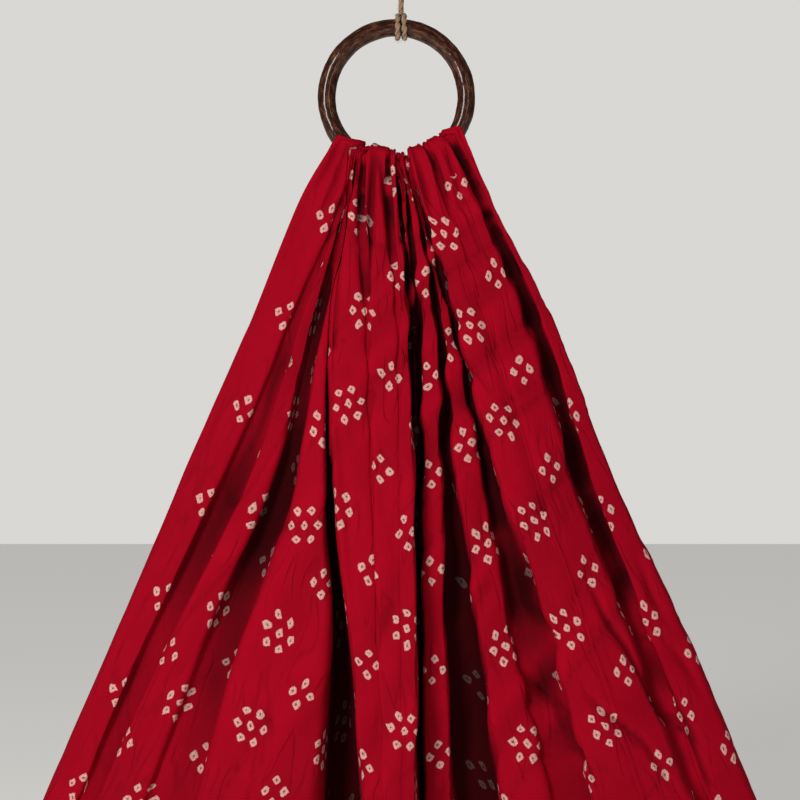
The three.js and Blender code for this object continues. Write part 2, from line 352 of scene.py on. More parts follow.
centres = []
for path, _ in leg_paths:
    ahead = np.gradient(path, axis=0)
    centres += [(p / MM, a / np.linalg.norm(a)) for p, a in zip(path, ahead)]
for x in WRAP_X:
    for a in np.linspace(0, 2 * math.pi, 60, endpoint=False):
        centre = np.array([x, TURN_REACH * math.sin(a), ROD_TOP + TURN_REACH * math.cos(a)])
        centres.append((centre, np.array([0, math.cos(a), -math.sin(a)])))
hairs = fuzz("twine_fuzz", centres, HAIRS, 11)
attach(hairs, "root")
print("fuzz", len(hairs.data.polygons), "faces")

# %% [markdown]
# ## The folds of the cloth
# A hanging cloth is one sheet, and every fold is a line that starts in the gathers on the ring and
# widens down to the hem. The table below gives for each fold its two edges at the ring and at five
# heights, how far it stands off the rod, how far it stands out in front, how deep the valley on its
# right is, and how its face tilts. Its folds are the CAD's, moved a few millimetres to where the
# photograph shows them. A sheet is laid over those lines. A simulation could drape a cloth, but it would
# never fall into these very folds, so they are listed.

# %% The fold table
CLOTH_THICKNESS = 1.2
SEAT_GAP = 0.5
HEM_RADIUS = 652
BACK_SHORTER = 14
SELVEDGE_TUCK = (3, 5, 8, 12, 16, 20)
SELVEDGE_OUT = 8
CORNER = 0.25
BOW = 0.04
CHART_Z = (-220, -316, -444, -572, -700)
OUT_Z = (-220, -444, -790)

FOLD_COLUMNS = ("name", "left", "right", "lift", "out", "bed", "tilt")
FOLD_ROWS = (
    ("left edge", (-49, -80, -120, -176, -230, -285), (-40, -47, -88, -141, -202, -258),
     3, (12, 24, 38), (9.3, 15, 33), 0.35),
    ("left second", (-39, -45.5, -79, -122, -184, -244), (-37, -44, -69, -103, -156, -204),
     0.4, (9.8, 30, 52), (9.3, 14, 48), -0.2),
    ("left broad", (-36, -42.5, -60.5, -84, -127, -164), (-34.5, -41, -57, -60, -53, -62),
     0.8, (12, 38, 68), (10, 9, 9), 0.12),
    ("middle, left pleat", (-33, -40, -56.5, -54, -40, -31), (-31, -33, -28, -24, -19, -16),
     2.4, (14, 45, 82), (11, 44, 83), 0),
    ("middle, broad pleat", (-29, -29.5, -25, -21, -17, -13.5), (-10.5, -11, -3, -1.5, 0, 1.5),
     6, (17, 49, 87), (13, 48.4, 86.6), 0),
    ("middle, right pleat", (-8.5, -7, 0, 1.5, 3.5, 4.5), (-4.5, -1, 6.5, 10.5, 13, 13),
     5, (16.6, 48.6, 86.4), (9.5, 9, 9), 0),
    ("sunk pleat", (-2.5, 1.5, 9, 12.2, 14, 14.2), (-0.5, 4, 12, 14.2, 15.4, 15.6),
     3, (13, 13, 13), (9.3, 9, 9), 0),
    ("right of the middle", (1.5, 6.5, 16, 17.5, 18, 18.5), (3.5, 10.5, 29, 33.5, 37, 44),
     3, (14, 28, 44), (8.8, 9, 9), 0),
    ("right inner", (5, 13, 33, 45, 63, 80), (6.5, 14.5, 41, 67, 91, 121.5),
     0.4, (9.3, 30, 54), (8.8, 15, 46), -0.2),
    ("right broad, inner half", (8.5, 17, 44, 78.5, 120, 152), (23, 36, 68, 108, 150, 192),
     6, (17, 45.8, 71), (16.2, 45.4, 70.4), 0),
    ("right broad, outer half", (25.5, 38.5, 70.5, 111, 154.5, 197), (40.5, 63.5, 100.5, 139.5, 186.5, 233.5),
     5, (16, 44.8, 69.5), (9.3, 14, 45), -0.3),
    ("right edge", (44, 70, 112.5, 152.5, 199.5, 246), (47.5, 73.5, 122.5, 172, 232, 285.5),
     2, (12, 26, 47), (8, 8, 8), -0.3),
)
FOLDS = [dict(zip(FOLD_COLUMNS, row)) for row in FOLD_ROWS]
print(len(FOLDS), "folds")

# %% [markdown]
# The corners of the sheet's section go up one side of each fold, across its face and down into the next
# valley. A quadratic B-spline over the corners rounds them just as a limp cloth does. Each column of
# the sheet is one place along that spline, carried from the hem to the ring as a line of the cloth.

# %% The corners of the section, then the columns of the sheet
def corner(across, lift, out):
    return np.array([*across, lift, *out], dtype=float)


def section_corners():
    shelf = np.full(3, SELVEDGE_OUT, dtype=float)
    tuck = np.array(SELVEDGE_TUCK, dtype=float)
    corners = [corner(np.array(FOLDS[0]["left"]) + tuck, 0, shelf)]
    bed = shelf
    for fold in FOLDS:
        left, right = np.array(fold["left"], dtype=float), np.array(fold["right"], dtype=float)
        out, following = np.array(fold["out"], dtype=float), np.array(fold["bed"], dtype=float)
        out_left = out + (bed - out) * max(0, fold["tilt"])
        out_right = out + (following - out) * max(0, -fold["tilt"])
        bow = BOW * (right[4] - left[4]) * np.array([0, 0.5, 1])
        face_left = corner(left + (right - left) * CORNER, fold["lift"],
                           out_left + (out_right - out_left) * CORNER + bow)
        face_right = corner(right + (left - right) * CORNER, fold["lift"],
                            out_right + (out_left - out_right) * CORNER + bow)
        corners += [
            corner(left, 0, bed),
            corner(left, fold["lift"], out_left),
            face_left,
            face_right,
            corner(right, fold["lift"], out_right),
            corner(right, 0, following),
        ]
        bed = following
    corners.append(corner(np.array(FOLDS[-1]["right"]) - tuck, 0, shelf))
    return np.array(corners)


CORNERS = section_corners()
RIBS = (CORNERS[1:] + CORNERS[:-1]) / 2
PIECES = len(CORNERS) - 2
COLUMNS = 424
NEAR_RING_WEIGHT = 3.2  # how much a length by the ring counts against one low on the cloth


def column_places():
    """Shares the columns among the section's pieces by their length low on the cloth and by the ring."""
    lengths = []
    for place, depth in ((4, CORNERS[:, 8:].mean(axis=1)), (1, CORNERS[:, 7])):
        flat = np.stack([CORNERS[:, place], depth], axis=1)
        rib = (flat[1:] + flat[:-1]) / 2
        steps = np.linalg.norm(flat[1:-1] - rib[:-1], axis=1) + np.linalg.norm(rib[1:] - flat[1:-1], axis=1)
        lengths.append(steps)
    weight = np.hypot(lengths[0] + 3, NEAR_RING_WEIGHT * lengths[1])
    reach = np.concatenate([[0], np.cumsum(weight)])
    return np.interp(np.linspace(0, reach[-1], COLUMNS), reach, np.arange(PIECES + 1))


places = column_places()
piece_index = np.minimum(places.astype(int), PIECES - 1)
share = (places - piece_index)[:, None]
columns = (
    (1 - share) ** 2 * RIBS[piece_index]
    + 2 * share * (1 - share) * CORNERS[piece_index + 1]
    + share**2 * RIBS[piece_index + 1]
)
across, lift, out = columns[:, :6], columns[:, 6], columns[:, 7:]
print(COLUMNS, "columns over", PIECES, "curved pieces")


# %% Carry each column from hem to ring, over the rod, and down behind
SLANT_OVER_ROD = (0.3, 0.16)  # how far the outermost gathers, left and right, slant over the rod
SLANT_ANGLE = 0.6  # radians along the rod over which the slant grows


def on_rod(turn):
    reach = ROD_RADIUS + SEAT_GAP + CLOTH_THICKNESS / 2 + lift
    angle = np.arcsin((across[:, 0] - RING_CENTRE[0]) / RING_RADIUS)
    slant = np.where(angle < 0, *SLANT_OVER_ROD)
    angle = angle * (1 - slant * smooth(np.abs(angle) / SLANT_ANGLE - 0.6) * math.sin(turn))
    radius = RING_RADIUS - reach * math.sin(turn)
    return np.stack([
        RING_CENTRE[0] + radius * np.sin(angle),
        -reach * math.cos(turn),
        RING_CENTRE[2] - radius * np.cos(angle),
    ], axis=1)


def flat_places(hem_radius):
    spots = [np.stack([across[:, i + 1], np.zeros(COLUMNS), np.full(COLUMNS, float(z))], axis=1)
             for i, z in enumerate(CHART_Z)]
    away = spots[4] - spots[3]
    away /= np.linalg.norm(away, axis=1)[:, None]
    reach = spots[4] - RING_CENTRE
    along = (reach * away).sum(axis=1)
    run = -along + np.sqrt(along**2 - (reach**2).sum(axis=1) + hem_radius**2)
    return spots + [spots[4] + away * run[:, None]]


def depth_at(z):
    upper = z > OUT_Z[1]
    share = np.where(upper, (z - OUT_Z[0]) / (OUT_Z[1] - OUT_Z[0]), (z - OUT_Z[1]) / (OUT_Z[2] - OUT_Z[1]))
    share = np.minimum(1, share)
    start = np.where(upper, out[:, 0], out[:, 1])
    end = np.where(upper, out[:, 1], out[:, 2])
    return start + (end - start) * share


def front_spots():
    spots = [on_rod(0)]
    for place in flat_places(HEM_RADIUS):
        depth = depth_at(place[:, 2])
        drawn = 1 - depth / EYE_DISTANCE
        spots.append(np.stack([
            place[:, 0] * drawn, -depth, EYE_HEIGHT + (place[:, 2] - EYE_HEIGHT) * drawn], axis=1))
    return spots


BACK_SWAY = 5
BACK_FULLNESS = (0.86, 0.12)  # the depth of the back fall's folds against the front's, and how it varies


def back_spots():
    spots = [on_rod(math.pi)]
    whole = places / PIECES
    for i, place in enumerate(flat_places(HEM_RADIUS - BACK_SHORTER)):
        growth = i / 5
        sway = BACK_SWAY * growth * np.sin(whole * 23 + 1)
        fullness = 1 + (BACK_FULLNESS[0] + BACK_FULLNESS[1] * np.sin(whole * 31 + growth * 2) - 1) * growth
        depth = SELVEDGE_OUT + (depth_at(place[:, 2]) - SELVEDGE_OUT) * fullness
        spots.append(np.stack([place[:, 0] + sway, depth, place[:, 2]], axis=1))
    return spots


def down_the_curve(spots, steps):
    """A centripetal curve through the spots of every column, cut into the given steps between spots."""
    points = np.array([2 * spots[0] - spots[1], *spots, 2 * spots[-1] - spots[-2]])
    rows = []
    for i, count in enumerate(steps):
        a, b, c, d = points[i : i + 4]
        da, db, dc = (np.sqrt(np.linalg.norm(q - p, axis=1))[:, None] for p, q in ((a, b), (b, c), (c, d)))
        t1 = ((b - a) / da - (c - a) / (da + db) + (c - b) / db) * db
        t2 = ((c - b) / db - (d - b) / (db + dc) + (d - c) / dc) * db
        for k in range(count):
            t = k / count
            rows.append(b + t1 * t + (-3 * b + 3 * c - 2 * t1 - t2) * t**2 + (2 * b - 2 * c + t1 + t2) * t**3)
    rows.append(spots[-1])
    return rows


FRONT_STEPS = (20, 28, 30, 28, 27, 16)
BACK_STEPS = (7, 10, 11, 10, 10, 8)
WRAP_ROWS = 12
front = down_the_curve(front_spots(), FRONT_STEPS)
wrap = [on_rod(math.pi * (k + 1) / (WRAP_ROWS + 1)) for k in range(WRAP_ROWS)]
back = down_the_curve(back_spots(), BACK_STEPS)
grid = np.array(front[::-1] + wrap + back)
RING_ROW = len(front) - 1  # the row at the rod's front
ROWS = len(grid)
print("sheet", ROWS, "rows by", COLUMNS, "columns")

# %% [markdown]
# ## Measures along the sheet
# Two lengths place everything that follows the cloth: how far a point is down from the ring along its
# own column, and how far it is across from the middle of its fold. Both are measured on the sheet.

# %% Lengths down and across the sheet
def lengths_along(points, axis):
    steps = np.linalg.norm(np.diff(points, axis=axis), axis=2)
    zero = np.zeros((1, points.shape[1])) if axis == 0 else np.zeros((points.shape[0], 1))
    return np.concatenate([zero, np.cumsum(steps, axis=axis)], axis=axis)


run_down = lengths_along(grid, 0)
run_down = run_down[RING_ROW] - run_down  # above 0 on the front fall, below 0 over the rod and behind
run_across = lengths_along(grid, 1)
print("front fall", round(run_down[0].min()), "to", round(run_down[0].max()), "mm long")
print("width round the folds: hem", round(run_across[0, -1]), "mm")
print("width round the folds: ring", round(run_across[RING_ROW, -1]), "mm")


# %% [markdown]
# ## The print
# Bandhani is made by pinching up tiny bits of cloth and tying them with thread before dyeing, so each
# tie leaves a pale dot. Here the traditional repeat is seven dots in a flower and four dots in a diamond
# between the flowers. The repeat is square on the flat cloth, but each fold shows its own strip of it and
# hides the rest. So each fold gets its own strip of the flat pattern: a few motifs were placed on the
# photograph, and the rest of the strip follows by its lengths down and across.

# %% Motifs on each fold: pixel across, pixel down, and the place in the repeat
REPEAT = 79.5  # from one flower to the next on the flat cloth
CRINKLE_TAKE_UP = 0.85  # the seen width of the crinkled cloth, as a share of its flat width
STRIPS = [
    dict(folds=(0, 0), motifs=[(328, 219, 0.5, 0.5), (287, 315, 0.5, 1.5), (244, 409, 0.5, 2.5),
                               (207, 503, 0.5, 3.5)]),
    dict(folds=(1, 1), motifs=[(284, 359, 0.5, 0.5), (252, 452, 0.5, 1.5), (207, 553, 0.5, 2.5),
                               (168, 653, 0.5, 3.5), (180, 705, 1, 4)]),
    dict(folds=(2, 2), motifs=[(305, 527, 0, 0), (281, 632, 0, 1), (250, 726, 0, 2), (252, 555, -0.5, 0.5),
                               (225, 662, -0.5, 1.5), (192, 753, -0.5, 2.5), (322, 583, 0.5, 0.5),
                               (302, 696, 0.5, 1.5), (281, 467, -0.5, -0.5)]),
    dict(folds=(3, 5), motifs=[(391, 375, 0.5, 0.5), (381, 471, 0.5, 1.5), (370, 569, 0.5, 2.5),
                               (367, 665, 0.5, 3.5), (346, 404, 0, 1), (365, 312, 0, 0), (361, 217, 0, -1),
                               (407, 630, 1, 3), (404, 731, 1, 4), (412, 530, 1, 2)]),
    dict(folds=(6, 7), motifs=[(424, 284, 0.5, 0.5), (428, 376, 0.5, 1.5), (431, 474, 0.5, 2.5),
                               (431, 571, 0.5, 3.5), (433, 667, 0.5, 4.5), (439, 757, 0.5, 5.5)]),
    dict(folds=(8, 8), motifs=[(487, 545, 0, 0), (505, 645, 0, 1), (525, 742, 0, 2)]),
    dict(folds=(9, 10), motifs=[(445, 235, 0, 0), (470, 325, 0, 1), (505, 421, 0, 2), (536, 521, 0, 3),
                                (567, 630, 0, 4), (605, 725, 0, 5), (456, 186, 0.5, -0.5),
                                (497, 275, 0.5, 0.5), (521, 370, 0.5, 1.5), (550, 467, 0.5, 2.5),
                                (588, 570, 0.5, 3.5), (625, 670, 0.5, 4.5), (662, 763, 0.5, 5.5)]),
    dict(folds=(11, 11), motifs=[(603, 512, 0, 0), (645, 622, 0, 1), (680, 718, 0, 2)]),
]
print("motifs placed by eye", sum(len(strip["motifs"]) for strip in STRIPS))


# %% Fit each strip of the print to its fold
FIRM = 18.0  # how firmly a strip keeps to the cloth's own lengths between its motifs
NEAR_MOTIF = 15  # mm: how near a motif pulls the print to itself
FOLD_CORNERS = 6  # places in the section to each fold


def strip_field(strip):
    first, last = strip["folds"]
    left_top, right_top = FOLD_CORNERS * first + 1.5, FOLD_CORNERS * last + 4.5
    centre = np.argmin(np.abs(places - (left_top + right_top) / 2))
    across_fold = run_across - run_across[:, centre : centre + 1]
    inside = np.flatnonzero((places > left_top - 0.9) & (places < right_top + 0.9))
    seen = in_picture(grid[: RING_ROW + 1, inside])
    rows = []
    for px, py, i, j in strip["motifs"]:
        far = np.hypot(seen[..., 0] - px, seen[..., 1] - py)
        r, c = np.unravel_index(np.argmin(far), far.shape)
        rows.append((across_fold[r, inside[c]], run_down[r, inside[c]], i * REPEAT, j * REPEAT, far[r, c]))
    rows = np.array(rows)
    motif_across, motif_down = rows[:, 0], rows[:, 1]
    fields = []
    for wanted, slopes in ((rows[:, 2], (1 / CRINKLE_TAKE_UP, 0)), (rows[:, 3], (0, 1))):
        table = np.stack([np.ones(len(rows)), motif_across, motif_down], axis=1)
        table = np.vstack([table, [0, FIRM * 2, 0], [0, 0, FIRM * 6]])
        goal = np.concatenate([wanted, [FIRM * 2 * slopes[0], FIRM * 6 * slopes[1]]])
        fit = np.linalg.lstsq(table, goal, rcond=None)[0]
        off = wanted - (fit[0] + fit[1] * motif_across + fit[2] * motif_down)
        field = fit[0] + fit[1] * across_fold + fit[2] * run_down
        pull = np.zeros_like(field)
        total = np.zeros_like(field)
        for a, d, miss in zip(motif_across, motif_down, off):
            weight = ((across_fold - a) ** 2 + (np.maximum(run_down, 0) - d) ** 2 + NEAR_MOTIF**2) ** -1.5
            pull += weight * miss
            total += weight
        fields.append(field + pull / total)
    print(strip["folds"], "motifs", len(rows), "farthest from its fold", round(rows[:, 4].max(), 1), "px")
    return fields


def whole_repeats(field, other, joint):
    """How many whole repeats, in mm, bring one strip nearest to its neighbour at their joint."""
    return round(float((field - other)[:RING_ROW, joint].mean()) / REPEAT) * REPEAT


print_u, print_v = strip_field(STRIPS[0])
for strip in STRIPS[1:]:
    u, v = strip_field(strip)
    valley = FOLD_CORNERS * strip["folds"][0] - 1.5
    joint = np.argmin(np.abs(places - (valley + 1.5)))
    over = smooth((places - valley - 0.3) / 2.4)[None, :]
    print_u, print_v = [
        old * (1 - over) + (new + whole_repeats(old, new, joint)) * over
        for old, new in ((print_u, u), (print_v, v))
    ]

# %% [markdown]
# Some of the cloth is plain: its two side borders, the right gathers on the ring and the upper right edge.
# In a narrow valley two strips meet and the print between them is drawn out long, which no tied dot can
# be, so it is left plain too. One number for each point holds all this, above 0 where dots may show.

# %% Where the cloth shows its dots
LEFT_BORDER, RIGHT_BORDER = 2.7, 71.3  # the side borders end at these places in the section
PLAIN_BY_RING, RIGHT_GATHERS = 24, 55  # mm from the ring without dots, right of this place in the section
PLAIN_ON_EDGE, RIGHT_EDGE = 192, 64.5  # the same for the right edge
LEAST_SCALE = 0.5  # the print is left out where it is drawn out to more than twice its length

steps_across, steps_down = np.gradient(run_across, axis=1), np.gradient(run_down, axis=0)
steps_down = np.where(np.abs(steps_down) < 0.01, 0.01, steps_down)
slopes = [np.gradient(field, axis=axis) / step for field in (print_u, print_v)
          for axis, step in ((1, steps_across), (0, steps_down))]
total = sum(slope**2 for slope in slopes)
turned = slopes[0] * slopes[3] - slopes[1] * slopes[2]
least = np.sqrt(np.maximum(0, (total - np.sqrt(np.maximum(0, total**2 - 4 * turned**2))) / 2))
inside_borders = np.minimum(places - LEFT_BORDER, RIGHT_BORDER - places)
may_show = np.minimum(inside_borders[None, :], (least - LEAST_SCALE) * 8)
for plain_length, first_place in ((PLAIN_BY_RING, RIGHT_GATHERS), (PLAIN_ON_EDGE, RIGHT_EDGE)):
    plain = (np.abs(run_down) < plain_length) & (places > first_place)[None, :]
    may_show = np.where(plain, -1, may_show)
print("print spans", round(np.ptp(print_u)), "by", round(np.ptp(print_v)), "mm")

# %% [markdown]
# ## Creases and crinkle
# Tying leaves bandhani cotton crinkled all over, and the gathers on the ring press sharp creases into
# it. The long creases are placed one by one, as soft troughs and ridges that follow a line on the
# picture. The crinkle is noise, long down the cloth and short across it. Both move the sheet along its
# own normal, so they work on every side of a fold.

# %% Creases, each with its line in pixels, its half width in mm and how far it stands out in mm
CREASE_COLUMNS = ("name", "wide", "high", "line_px")
CREASE_ROWS = (
    ("gather, far left", 2.8, -2.6, [(341, 140), (333, 160), (318, 190)]),
    ("gather, left", 2.8, -3, [(349, 146), (337, 180), (322, 215)]),
    ("first valley", 3, -3.5, [(357, 148), (357, 165), (354, 180), (347, 197), (340, 205), (330, 230)]),
    ("middle, left line", 3, -4, [(364, 150), (361, 190), (359, 240)]),
    ("middle, small valley", 3.4, -3, [(359, 240), (362, 270), (368, 305)]),
    ("middle, deep", 3.2, -6, [(376, 150), (373, 175), (371, 205), (369, 250), (368, 290)]),
    ("middle, slanting", 2.8, -5, [(379, 150), (383, 180), (388, 205), (391, 240), (395, 270)]),
    ("middle, short", 2.2, -3, [(387, 152), (392, 190), (393, 225)]),
    ("middle, straight", 2.4, -4, [(399, 155), (400, 190), (401, 240)]),
    ("middle, right line", 2.4, -3.5, [(406, 150), (407, 190), (410, 245)]),
    ("edge of the middle", 3, -3, [(345, 205), (341, 230), (339, 260), (338, 300), (334, 340), (331, 400),
     (330, 440)]),
    ("flank of the middle", 3, -1.8, [(336, 400), (338, 423), (342, 459), (347, 513), (351, 570),
     (354, 640)]),
    ("soft crease, middle", 5, -1, [(383, 440), (383, 480), (385, 530)]),
    ("soft crease, middle right", 5, -1.1, [(396, 500), (395, 540), (398, 600)]),
    ("right pleat", 2.8, -4, [(416, 152), (424, 185), (432, 212)]),
    ("right fan, first", 3, -4.5, [(430, 142), (437, 165), (443, 185), (452, 215)]),
    ("right fan, second", 2.8, -3, [(446, 145), (453, 168), (464, 200)]),
    ("slit on the right", 2.8, -5, [(446, 134), (457, 150), (467, 167), (475, 184), (482, 200)]),
    ("gap beside the right edge", 3.4, -5, [(474, 182), (488, 212), (503, 244), (518, 278), (531, 311),
     (545, 347), (556, 380), (566, 415), (583, 480)]),
    ("long crease, right broad", 6, -2.4, [(480, 300), (490, 340), (515, 420), (525, 450), (545, 510),
     (555, 550)]),
    ("soft crease, right broad", 5, -1.6, [(462, 255), (478, 310), (492, 350)]),
    ("in the right valley", 3.4, -3.5, [(497, 520), (511, 587), (523, 637)]),
    ("right valley, second", 3.2, -3, [(512, 545), (527, 605), (554, 637), (561, 666)]),
    ("wrinkle below the valley", 3, -3.8, [(518, 666), (543, 691), (568, 716)]),
    ("wrinkle, short", 3, -2.4, [(541, 668), (546, 695), (541, 723)]),
    ("wrinkle, slanting", 3, -4, [(552, 690), (575, 751), (600, 784)]),
    ("wrinkle across", 3.4, -2.2, [(535, 759), (565, 753), (596, 745)]),
    ("lower right, first", 3, -4.6, [(592, 500), (608, 540), (625, 580), (637, 604)]),
    ("lower right, second", 3, -4, [(640, 560), (650, 592), (666, 622)]),
    ("lower right, third", 3, -4.6, [(590, 580), (604, 615), (629, 651), (664, 716), (696, 744)]),
    ("lower right, fourth", 3.2, -3.8, [(584, 690), (600, 709), (646, 744), (675, 790)]),
    ("right edge, low", 3, -4.2, [(647, 640), (663, 680), (678, 706), (704, 748)]),
    ("right edge, lower", 3, -3.4, [(671, 645), (684, 664), (700, 690)]),
    ("right edge, lowest", 3.2, -4, [(686, 722), (700, 760), (714, 796)]),
    ("left, beside the edge", 3.6, -2, [(250, 420), (222, 480), (196, 540), (170, 600)]),
    ("left, low crease", 3.6, -2.2, [(150, 640), (128, 690), (104, 745), (90, 790)]),
    ("left broad, upper", 4, -1.8, [(296, 470), (288, 500), (285, 540)]),
    ("left broad, low", 4, -1.8, [(262, 690), (268, 720), (262, 770)]),
)
CREASES = [dict(zip(CREASE_COLUMNS, row)) for row in CREASE_ROWS]
print(len(CREASES), "creases")


# %% Lift and sink the sheet along the creases
def crease_field(picture):
    """How far the creases lift each point, from its place in the picture."""
    lifted = np.zeros(picture.shape[:2])
    for crease in CREASES:
        line = np.array(crease["line_px"], dtype=float)
        nearest = np.full(lifted.shape, 1e9)
        ending = np.zeros(lifted.shape)
        for k, (a, b) in enumerate(zip(line[:-1], line[1:])):
            run = b - a
            share = ((picture - a) @ run) / (run @ run)
            held = np.clip(share, 0, 1)
            far = np.hypot(*np.moveaxis(picture - (a + held[..., None] * run), -1, 0))
            closer = far < nearest
            nearest = np.where(closer, far, nearest)
            ending = np.where(closer, (k + held) / (len(line) - 1), ending)
        soft = np.sin(np.pi * np.clip(ending, 0.04, 0.96)) ** 0.5
        lifted += crease["high"] * soft * np.exp(-((nearest * MM_PER_PIXEL / crease["wide"]) ** 2))
    return lifted


def sheet_normals(points):
    side = np.gradient(points, axis=1)
    down = np.gradient(points, axis=0)
    normal = np.cross(side, down)
    return -normal / np.linalg.norm(normal, axis=2)[..., None]


normals = sheet_normals(grid)
if normals[10, COLUMNS // 2, 1] > 0:
    normals = -normals
creases = crease_field(in_picture(grid))
creases[RING_ROW + 3 :] = 0
print("creases sink the sheet up to", round(float(-creases.min()), 1), "mm")

# %% Crinkle, pressed lines and gathers
LONG_FOLD, CRINKLE, FINE, PRESSED = 2.5, 0.4, 0.08, 1.5  # heights in mm
GATHER_HIGH = 1.6
GATHERS_PER_PLACE = 1.25

flat_u, flat_v = run_across, np.abs(run_down)
wander = noise(flat_u / 60, flat_v / 80, 21) * 10
long_folds = noise((flat_u + wander) / 24, flat_v / 110, 22)
crinkle = noise((flat_u + wander * 0.5) / 9, flat_v / 46, 23)
fine = noise(flat_u / 5, flat_v / 15, 24)
pressed = (1 - np.abs(noise((flat_u + wander * 1.6) / 34, flat_v / 120 + 7, 27))) ** 9
inner = smooth((places - 3.5) / 3) * smooth((PIECES - 3.5 - places) / 3) * 0.7 + 0.3
away_from_ring = smooth((flat_v - 6) / 70)
crest = LONG_FOLD * long_folds * inner + CRINKLE * crinkle + FINE * fine - PRESSED * pressed * inner
crest = crest * away_from_ring
gather_place = places[None, :] * GATHERS_PER_PLACE + noise(flat_v / 40, places[None, :], 26)
gathers = (1 - np.abs(noise(gather_place, flat_v / 90, 25))) ** 2 * GATHER_HIGH
near_ring = (1 - smooth((flat_v - 25) / 70)) * smooth((flat_v + 12) / 20) * (1 - smooth(-creases / 1.5))
print("crinkle moves the sheet up to", round(float(np.abs(crest).max()), 1), "mm")

# %% Move the sheet, and keep it off the ring's rod
MOST_SWELL = 1.06  # the twig is nowhere thicker than this share of its rod
CLEAR_OF_AXIS = ROD_RADIUS * MOST_SWELL + CLOTH_THICKNESS / 2


def keep_off_ring(points):
    """Moves every point that a crease has pressed into the ring's rod back to the rod's skin."""
    reach = points - RING_CENTRE
    outward = reach * (1, 0, 1)
    outward /= np.linalg.norm(outward, axis=-1, keepdims=True)
    from_rod = reach - outward * RING_RADIUS
    far = np.linalg.norm(from_rod, axis=-1, keepdims=True)
    near = RING_CENTRE + outward * RING_RADIUS + from_rod / far * CLEAR_OF_AXIS
    return np.where(far < CLEAR_OF_AXIS, near, points)


sheet = keep_off_ring(grid + normals * (crest + creases + gathers * near_ring)[..., None])
print("sheet moved", round(float(np.linalg.norm(sheet - grid, axis=2).max()), 1), "mm at most")

# %% [markdown]
# ## Painted shade in the valleys
# The valleys are darker on the photograph than the studio's light alone leaves them, so shade is painted
# into the cloth's colour there. That is for the look: nothing shows that the real dye differs. So each point
# is given one more measure: how far it lies sunk behind the folds beside it. Each row of the sheet is read
# on an even grid. The fold that stands out most is found to the left of each place and to the right, the
# lower of the two counts, and how far the sheet lies behind it is kept as an attribute for the painted shade
# to read. Creases and pressed lines count as small valleys.

# %% How far each point lies sunk between the folds
NARROW_SPAN, VALLEY_SPAN = 5, 22  # mm to each side, by the ring and what is added low on the cloth
FIRST_DARK = 1.8  # mm behind the folds where the painted shade starts
DARK_DEPTHS = (5, 13)  # mm behind the folds where the painted shade is darkest, in flat folds and in high ones
LOW_EXTRA = 14  # mm more than that low down, where the folds open


def sunk_field(points, row_reach):
    sunk = np.zeros(points.shape[:2])
    grid_x = np.arange(-320, 321, 1.0)
    for r in range(len(points)):
        x, depth = points[r, :, 0], np.abs(points[r, :, 1])
        front_of = np.full(len(grid_x), -1.0)
        slot_of = np.clip(np.round(x - grid_x[0]).astype(int), 0, len(grid_x) - 1)
        np.maximum.at(front_of, slot_of, depth)
        span = int(NARROW_SPAN + VALLEY_SPAN * smooth(row_reach[r] / 250))
        padded = np.pad(front_of, span, mode="edge")
        on_left = np.max([padded[k : k + len(grid_x)] for k in range(span + 1)], axis=0)
        on_right = np.max([padded[k : k + len(grid_x)] for k in range(span, 2 * span + 1)], axis=0)
        wide = np.minimum(on_left, on_right)
        low_pass = np.exp(-np.linspace(-2, 2, 2 * span + 1) ** 2)
        wide = np.convolve(np.pad(wide, span, mode="edge"), low_pass / low_pass.sum(), mode="valid")
        folds_front = np.interp(x, grid_x, wide)
        low_down = smooth((row_reach[r] - 240) / 180)
        deepest = DARK_DEPTHS[1] + LOW_EXTRA * low_down
        full_dark = np.clip(0.6 * (folds_front - 8) + 1.5, DARK_DEPTHS[0], deepest)
        sunk[r] = np.clip((folds_front - depth - FIRST_DARK) / full_dark, 0, 1)
    return sunk


sunk = sunk_field(sheet, np.abs(run_down).mean(axis=1))
sunk *= smooth((places - 3) / 2) * smooth((PIECES - 3 - places) / 2)
# Painted shade also darkens the creases and the pressed lines.
in_pressed = smooth(pressed * 1.6 - 0.6) * away_from_ring * inner
painted_crease_shade = 0.62 * smooth(-creases / 4.5 - 0.1) + 0.3 * in_pressed
sunk = np.maximum(sunk, painted_crease_shade)
print("sunk points", round(float((sunk > 0.5).mean()), 3), "of the sheet")

# %% [markdown]
# ## Hems
# The cut ends are turned under and stitched. Two more rows on each end double the cloth back on
# its inner side.

# %% Turn the hems under and make the cloth
HEM_DEEP = 9


def turned_under(end, inward_row, normal_row):
    up = inward_row - end
    up /= np.linalg.norm(up, axis=1)[:, None]
    behind = -normal_row
    return [end + behind - up * 0.4, end + behind * 1.1 + up * HEM_DEEP]


front_hem = turned_under(sheet[0], sheet[2], normals[0])
back_hem = turned_under(sheet[-1], sheet[-2], normals[-1])
full = np.array([front_hem[1], front_hem[0], *sheet, *back_hem])


def for_hems(field):
    """Repeats a field's end rows, for the two rows of each hem."""
    return np.vstack([field[:1], field[:1], field, field[-1:], field[-1:]])


